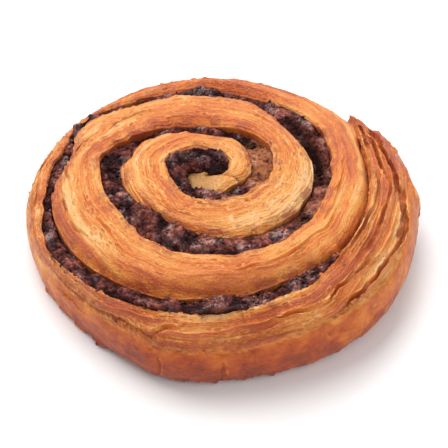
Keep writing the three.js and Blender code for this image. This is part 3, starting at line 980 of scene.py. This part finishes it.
# Gives the rings where two pieces meet the same normals, so that their joint does not show.
def joinNormals(first, second, ring, customNormals):
    sums = np.zeros((ring, 3))
    found = []
    for mesh, start in ((first, len(first.vertices) - ring), (second, 0)):
        sizes = np.empty(len(mesh.polygons), np.int32)
        mesh.polygons.foreach_get("loop_total", sizes)
        isSide = np.repeat(sizes < 5, sizes)
        corners = np.empty(len(mesh.loops), np.int32)
        mesh.loops.foreach_get("vertex_index", corners)
        normals = np.empty(len(mesh.loops) * 3, np.float32)
        mesh.corner_normals.foreach_get("vector", normals)
        normals = normals.reshape(-1, 3)
        chosen = np.nonzero(isSide & (corners >= start) & (corners < start + ring))[0]
        places = corners[chosen] - start
        np.add.at(sums, places, normals[chosen])
        found.append((mesh, chosen, places))
    sums /= np.linalg.norm(sums, axis=1, keepdims=True)
    for mesh, chosen, places in found:
        normals = customNormals.setdefault(mesh.name, np.zeros((len(mesh.loops), 3), np.float32))
        normals[chosen] = sums[places]


# The loose grains on the filling. Sizes in millimetres.
grains = {
    "shape": 1.3,  # seeds the one grain's own unevenness
    "fineness": 2,
    "unevenness": 0.2,
    "flatness": 0.8,
    "density": 0.55,  # on a square millimetre, times how loose the filling is there
    "sizes": (0.22, 0.65),
    "tilt": 3.0,
    "seed": 4.0,
}


def makeGrain():
    shell = bmesh.new()
    bmesh.ops.create_icosphere(shell, subdivisions=grains["fineness"], radius=1)
    seed = grains["shape"]
    for corner in shell.verts:
        x, y, z = corner.co
        uneven = math.sin(3.1 * x + seed) * math.cos(2.7 * y + 2 * seed)
        uneven += math.sin(4.3 * z + 1.7 * x + seed)
        corner.co *= 1 + grains["unevenness"] * uneven
        corner.co.z *= grains["flatness"]
    mesh = bpy.data.meshes.new("one_grain")
    shell.to_mesh(mesh)
    shell.free()
    mesh.shade_smooth()
    return makeObject("one_grain", mesh)


# Copies of one grain over the filling's crown, as an object of their own.
def strewGrains(rope, material):
    grain = makeGrain()
    made = makeObject("filling_grains", rope.data.copy())
    setPointField(made.data, "site", np.clip(readPointField(rope.data, "loose") - 0.3, 0, 0.7))
    least, most = grains["sizes"]
    values = {
        "Density": grains["density"],
        "Least": least * mm,
        "Most": most * mm,
        "Tilt": grains["tilt"],
        "Seed": grains["seed"],
        "Piece": grain,
        "Material": material,
    }
    runTree(made, makeStrewTree(), values)
    bpy.data.objects.remove(grain)
    print(made.name, len(made.data.polygons), "faces")
    return made


def startMaterial(name):
    material = bpy.data.materials.new(name)
    material.use_nodes = True
    tree = material.node_tree
    return material, tree, tree.nodes["Principled BSDF"]


def colourRamp(tree, value, stops):
    made = addNode(tree, "ShaderNodeValToRGB", {"Fac": value})
    elements = made.color_ramp.elements
    while len(elements) < len(stops):
        elements.new(0.5)
    for element, (position, colour) in zip(elements, stops):
        element.position = position
        element.color = (*colour, 1)
    return made.outputs["Color"]


def tint(tree, colour, share, other):
    inputs = {0: share, 6: colour, 7: (*other, 1)}
    return addNode(tree, "ShaderNodeMix", inputs, data_type="RGBA").outputs[2]


# Patches in all directions, from -0.5 to 0.5. A scale of 1 makes them about a millimetre.
def patches(tree, scale, detail=2.0, roughness=0.5):
    position = addNode(tree, "ShaderNodeTexCoord", {}).outputs["Object"]
    return noise(tree, position, scale / mm, detail, roughness)


# Streaks along the strip, from -0.5 to 0.5, with their length and width in millimetres.
def streaks(tree, length, width, seed, detail=2.0):
    along = readField(tree, "along") / length
    across = readField(tree, "across") / width
    return noise(tree, joinVector(tree, along, across, seed), detail=detail)


doughColours = {
    "cream": (0.87, 0.49, 0.20),
    "golden": (0.78, 0.315, 0.058),
    "amber": (0.67, 0.168, 0.019),
    "brown": (0.43, 0.068, 0.013),
    "dark": (0.20, 0.034, 0.014),
    "stain": (0.34, 0.058, 0.018),
    # painted shade in pits, slots, cracks and low places
    "pit": (0.50, 0.125, 0.016),
    # painted shade deep in the slits
    "gap": (0.55, 0.17, 0.028),
    # partly the core's own khaki, partly painted shade of its hollow
    "olive": (0.40, 0.20, 0.055),
}

crustLook = {
    # darkest, fade and outside set a crust painted paler towards its sides: painted light, for sides lit
    # more by the white surroundings.
    "darkest": 985.0,  # coil angle of its darkest stretch
    "fade": (12, 62),  # degrees from there over which it gets paler
    "outside": (830, 890),  # coil angles over which that sets in
    "depth": 13.0,  # millimetres down over which it gets darker
    "tone": 0.95,  # how far it is baked: 1 is the darkest colour
    "darkestTone": 0.96,
}


# How far the dough is baked at every place, from pale to dark, with painted light in it: painted
# highlight on raised places and brims, painted shade in grooves and low places, and a crust painted
# paler at its sides.
def doughBakeAndPaintedLight(tree):
    crust = readField(tree, "crust")
    spots = patches(tree, 0.32, 3.0, 0.6)
    grain = patches(tree, 1.4, 3.0, 0.6)
    bake = readField(tree, "bake") + readField(tree, "leafTone") * 0.5 + patches(tree, 0.055, 3.0) * 0.8
    lines = streaks(tree, 3.6, 0.5, 2.0, 3.0) * 0.26 + streaks(tree, 3.2, 1.3, 3.0) * 0.34
    bake = bake + lines * crust.ramp(0, 1, 1, 0.35) + spots * 0.15 + grain * 0.3
    bake = bake + streaks(tree, 34.0, 2.4, 6.0) * crust.ramp(0, 1, 1.15, 0.15) + 0.015
    # Painted highlight and shade: paler where the relief stands high and on the raised brims, darker in
    # the grooves between the leaves. The brims also hold the pale torn edges of the dough.
    bake = bake - readField(tree, "relief") * 0.35 * readField(tree, "flaky")
    bake = bake + readField(tree, "groove") * 0.24 - readField(tree, "lips") * 0.32
    bake = (bake + readField(tree, "broad").ramp(0.4, 1.0) * 0.07).apply("MINIMUM", 0.84)

    # Painted light: the crust is painted paler away from its darkest stretch at the front, as its sides
    # catch more light; its golden mottles gather on those sides too.
    turn = readField(tree, "coilAngle")
    aside = (turn - crustLook["darkest"]).apply("ABSOLUTE").ramp(*crustLook["fade"])
    aside = aside * turn.ramp(*crustLook["outside"])
    mottle = patches(tree, 0.13, 5.0, 0.6).ramp(-0.16, 0.26)
    golden = patches(tree, 0.2, 4.0, 0.6).ramp(0.0, 0.12) * aside
    pores = patches(tree, 0.6, 3.0, 0.6).ramp(0.05, 0.2)
    low = readField(tree, "crustDepth").ramp(0.0, crustLook["depth"], -0.1, 0.1)
    crustBakeAndSideLight = (bake - 0.6) * 0.4 - mottle * 0.32 - aside * 0.13 - golden * 0.22 + low
    crustBakeAndSideLight = (crustBakeAndSideLight + crustLook["tone"]).apply("SMOOTH_MIN", crustLook["darkestTone"], 0.2)
    crustBakeAndSideLight = crustBakeAndSideLight + pores * 0.08 + spots * 0.16 + grain * 0.12
    edges = readField(tree, "tearEdge") * (grain + 0.6).ramp(0.2, 0.7)
    return bake.blend(crustBakeAndSideLight, crust) - edges * 0.4


def doughColour(tree):
    tones = [(0.08, "cream"), (0.36, "golden"), (0.62, "amber"), (0.88, "brown"), (1.0, "dark")]
    colour = colourRamp(tree, doughBakeAndPaintedLight(tree), [(at, doughColours[name]) for at, name in tones])
    # Painted shade: low places of the relief, pits, slots and crust cracks get the darker pit colour.
    deep = readField(tree, "relief").ramp(-1.1, -0.3).inverted() * readField(tree, "flaky") * 0.6
    torn = (readField(tree, "torn") * 0.6 + deep).apply("MINIMUM", 0.75)
    slit = readField(tree, "slit")
    near = readField(tree, "fromFilling")
    speckles = near.ramp(0.3, 4.2).inverted() * patches(tree, 0.75, 2.0, 0.6).ramp(0.13, 0.2)
    smeared = near.ramp(0.2, 4.0).inverted() * patches(tree, 0.2, 4.0, 0.65).ramp(-0.02, 0.1)
    stained = near.ramp(-2.5, 0.6).inverted() * 0.35 + speckles * 0.8 + smeared * 0.65
    shares = {
        "pit": torn,
        # Painted shade in the slits: brown where they are shallow, the gap colour where they are deep.
        "brown": slit.ramp(0.3, 1.3) * 0.7,
        "gap": slit.ramp(1.8, 3.0) * 0.8,
        # olive: the core sunken in the hook, partly the khaki of its less baked dough and partly painted
        # shade of the hollow, strongest on its deeper left.
        "olive": readField(tree, "hollow") * 0.85,
        "stain": stained.apply("MINIMUM", 0.8),
    }
    for name, share in shares.items():
        colour = tint(tree, colour, share, doughColours[name])
    return colour


def makeDoughMaterial():
    material, tree, shader = startMaterial("baked_layered_dough")
    crust = readField(tree, "crust")
    fine = streaks(tree, 1.1, 0.22, 5.0, 3.0) * readField(tree, "flaky") * 0.6
    fine = fine + patches(tree, 0.32, 3.0, 0.6) * 0.3 + patches(tree, 1.4, 3.0, 0.6) * 0.7
    bump = addNode(tree, "ShaderNodeBump", {"Height": fine, "Strength": 0.85, "Distance": 0.0008})
    finish = {
        "Base Color": doughColour(tree),
        "Roughness": streaks(tree, 5.0, 1.2, 8.0).ramp(-0.25, 0.25, 0.36, 0.62),
        "Specular IOR Level": crust.ramp(0, 1, 0.3, 0.12),
        "Sheen Weight": crust.ramp(0, 1, 0.08, 0.05),
        "Sheen Roughness": 0.35,
        "Sheen Tint": (1, 0.86, 0.8, 1),
        "Coat Weight": crust.ramp(0, 1, 0.55, 0.25),
        "Coat Roughness": 0.15,
        "Subsurface Weight": 0.08,
        "Subsurface Radius": (1.0, 0.45, 0.2),
        "Subsurface Scale": 0.0004,
        "Normal": bump.outputs[0],
        "Coat Normal": bump.outputs[0],
    }
    fillInputs(tree, shader, finish)
    return material


fillingColours = {
    # runs from painted shade in the crevices to painted light on the lump tops
    "crumbs": [
        (0.12, (0.016, 0.004, 0.005)),
        (0.42, (0.072, 0.018, 0.017)),
        (0.70, (0.17, 0.046, 0.036)),
        (1.0, (0.38, 0.13, 0.08)),
    ],
    # painted shade in the filling's sunken hollow
    "sunk": (0.02, 0.006, 0.005),
    "stretches": [  # with a colour of their own: two coil angles, how strong, colour
        (336, 400, 0.75, (0.42, 0.15, 0.06)),
        (718, 758, 0.25, (0.30, 0.085, 0.05)),
        (684, 706, 0.35, (0.42, 0.16, 0.08)),
    ],
}


def makeFillingMaterial():
    material, tree, shader = startMaterial("spiced_filling")
    relief = readField(tree, "relief")
    grain = patches(tree, 1.1, 3.0, 0.65)
    clots = patches(tree, 0.22)
    # Painted light and shade: the crumbs are painted lighter on the tops of the lumps and darker, down
    # to near black, in the crevices between them; the grain and clot patches vary the tone at random.
    tone = relief * 0.2 + grain * 1.5 + clots * 0.9 + readField(tree, "clod") * 1.3 - 0.51
    colour = colourRamp(tree, tone, fillingColours["crumbs"])
    turn = readField(tree, "coilAngle")
    for first, last, strength, own in fillingColours["stretches"]:
        share = turn.ramp(first - 12, first + 8) * turn.ramp(last - 8, last + 12).inverted()
        colour = tint(tree, colour, share * (grain + clots + 0.5).ramp(0.25, 0.6) * strength, own)
    # Painted shade: the sunken middle of the filling is painted near black.
    colour = tint(tree, colour, readField(tree, "sunk").ramp(0.8, 2.6) * 0.85, fillingColours["sunk"])
    wet = patches(tree, 0.16, 3.0).ramp(-0.04, 0.06) * relief.ramp(-0.6, 0.3)
    bump = addNode(tree, "ShaderNodeBump", {"Height": grain, "Strength": 0.9, "Distance": 0.0006})
    finish = {
        "Base Color": colour,
        "Roughness": wet.ramp(0, 1, 0.75, 0.45),
        "Coat Weight": wet * 0.85,
        "Coat Roughness": 0.16,
        "Specular IOR Level": 0.12,
        "Normal": bump.outputs[0],
    }
    fillInputs(tree, shader, finish)
    return material


def makeDough():
    material = makeDoughMaterial()
    angles, points, way, fields = drawStrip()
    tree = makeLayerTree()
    stops = [0, *(int(np.argmin(np.abs(angles - cut))) for cut in strip["cuts"]), len(angles) - 1]
    pieces = []
    for name, first, last in zip(("dough_heart", "dough_middle", "dough_outside"), stops, stops[1:]):
        piece = makeObject(name, makeStripPiece(name, first, last, points, way, fields))
        piece.data.materials.append(material)
        runTree(piece, tree, {"Material": material})
        pieces.append(piece)
    customNormals = {}
    for first, second in zip(pieces, pieces[1:]):
        joinNormals(first.data, second.data, points.shape[1], customNormals)
    for piece in pieces:
        piece.data.normals_split_custom_set(customNormals[piece.data.name])
    return pieces


def makeFilling():
    material = makeFillingMaterial()
    rope = makeObject("filling_spiral", makeFillingMesh())
    runTree(rope, makeCrumbTree(), {"Material": material})
    return [rope, strewGrains(rope, material)]


doughPieces = makeDough()
print("dough ready")
fillingPieces = makeFilling()
print("filling ready")

# Light, floor and camera. Distances in millimetres, but for the lights and the floor.
studio = {
    "elevation": 47,
    "distance": 600,
    "pixel": 0.282,  # mm of the roll in one pixel of a 448 pixel wide picture
    "middlePixel": (223, 247),  # where the middle of the base lies
    "baseMiddle": (-0.2, 2.97),
    "sensor": 36,
    "pictureWidth": 448,
    "floorColour": (0.92, 0.92, 0.92),
    "floorRoughness": 0.7,
    "floorReach": 4,
    "floorGap": 0.0002,
    "worldStrength": 0.46,
    # each light's power, size and place
    "key": (7.7, 0.75, (-0.3, 0.3, 0.78)),
    "fill": (3.4, 0.9, (0.4, -0.6, 0.75)),
    "glint": (2.2, 0.35, (0.12, 0.66, 0.62)),
    "lightTarget": (0, 0, 0.01),
}


def makeCamera():
    lift = math.radians(studio["elevation"])
    forward = Vector((0, math.cos(lift), -math.sin(lift)))
    up = Vector((0, math.sin(lift), math.cos(lift)))
    right = Vector((1, 0, 0))
    focal = studio["distance"] / studio["pixel"]
    half = studio["pictureWidth"] / 2
    aside = (studio["middlePixel"][0] - half) / focal
    raised = (half - studio["middlePixel"][1]) / focal
    place = -(forward + right * aside + up * raised) * studio["distance"]
    place += Vector((*studio["baseMiddle"], 0))
    data = bpy.data.cameras.new("camera")
    data.sensor_width = studio["sensor"]
    data.lens = studio["sensor"] * focal / studio["pictureWidth"]
    data.clip_start = 0.01
    camera = makeObject("camera", data)
    camera.location = place * mm
    camera.rotation_euler = (math.radians(90) - lift, 0, 0)
    bpy.context.scene.camera = camera


def addLight(name, power, size, place):
    data = bpy.data.lights.new(name, "AREA")
    data.energy = power
    data.size = size
    light = makeObject(name, data)
    light.location = place
    way = Vector(studio["lightTarget"]) - Vector(place)
    light.rotation_euler = way.to_track_quat("-Z", "Y").to_euler()


def makeFloor():
    reach = studio["floorReach"]
    corners = [(-reach, -reach, 0), (reach, -reach, 0), (reach, reach, 0), (-reach, reach, 0)]
    mesh = bpy.data.meshes.new("floor")
    mesh.from_pydata(corners, [], [(0, 1, 2, 3)])
    floor = makeObject("floor", mesh)
    floor.location.z = -studio["floorGap"]
    material, tree, shader = startMaterial("pale_floor")
    finish = {"Base Color": (*studio["floorColour"], 1), "Roughness": studio["floorRoughness"]}
    fillInputs(tree, shader, finish)
    mesh.materials.append(material)


def makeStudio():
    makeFloor()
    world = bpy.data.worlds.new("studio_world")
    bpy.context.scene.world = world
    world.use_nodes = True
    light = {"Color": (1, 1, 1, 1), "Strength": studio["worldStrength"]}
    fillInputs(world.node_tree, world.node_tree.nodes["Background"], light)
    addLight("key_light", *studio["key"])
    addLight("fill_light", *studio["fill"])
    addLight("glint_light", *studio["glint"])
    bpy.context.scene.view_settings.view_transform = "Standard"


makeCamera()
makeStudio()
print("studio ready")

for node, pieces in (("dough", doughPieces), ("filling", fillingPieces)):
    for piece in pieces:
        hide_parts(node)
        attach(piece, "root")
